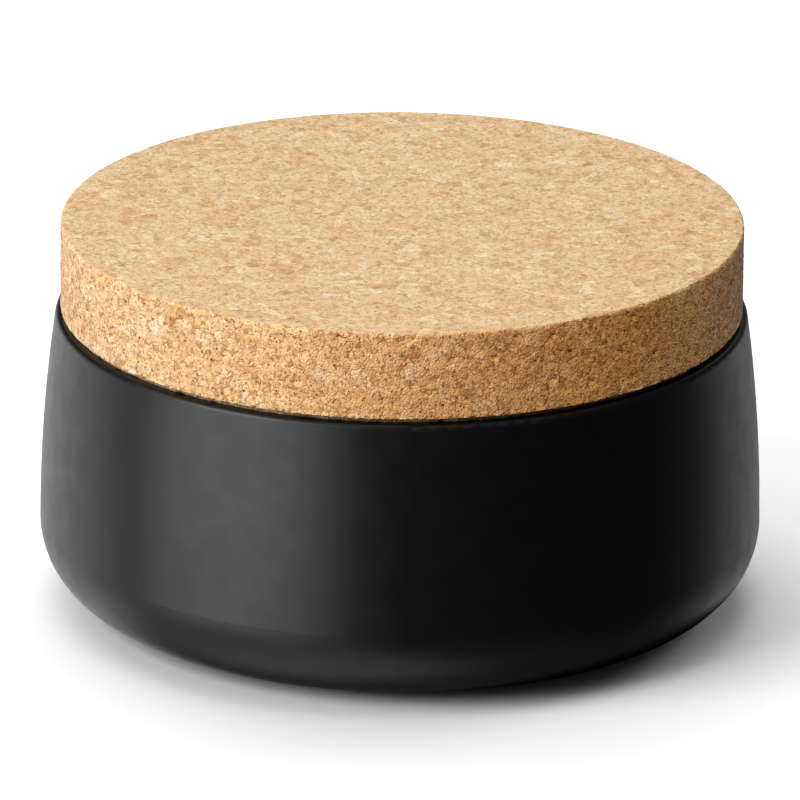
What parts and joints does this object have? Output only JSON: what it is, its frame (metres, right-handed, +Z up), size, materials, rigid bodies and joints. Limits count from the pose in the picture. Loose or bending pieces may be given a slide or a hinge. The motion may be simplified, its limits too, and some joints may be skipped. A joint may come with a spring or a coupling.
{
  "type": "ceramic canister",
  "caption": "Squat round stoneware canister with a gently bellied wall, a rounded foot corner and a thick flat cork lid whose plug drops into its mouth.",
  "frame": {"origin": "on the axis, in the plane that the foot ring stands on", "axes": "+Z up along the axis of the jar and its lid"},
  "size_m": [0.1694, 0.1694, 0.0926],
  "materials": {
    "stoneware": "satin-matte black glaze, bare clay on the foot ring",
    "cork": "sanded agglomerated cork, bare"
  },
  "bodies": {
    "root": {"jar": "stoneware", "lid": "cork"}
  },
  "joints": []
}
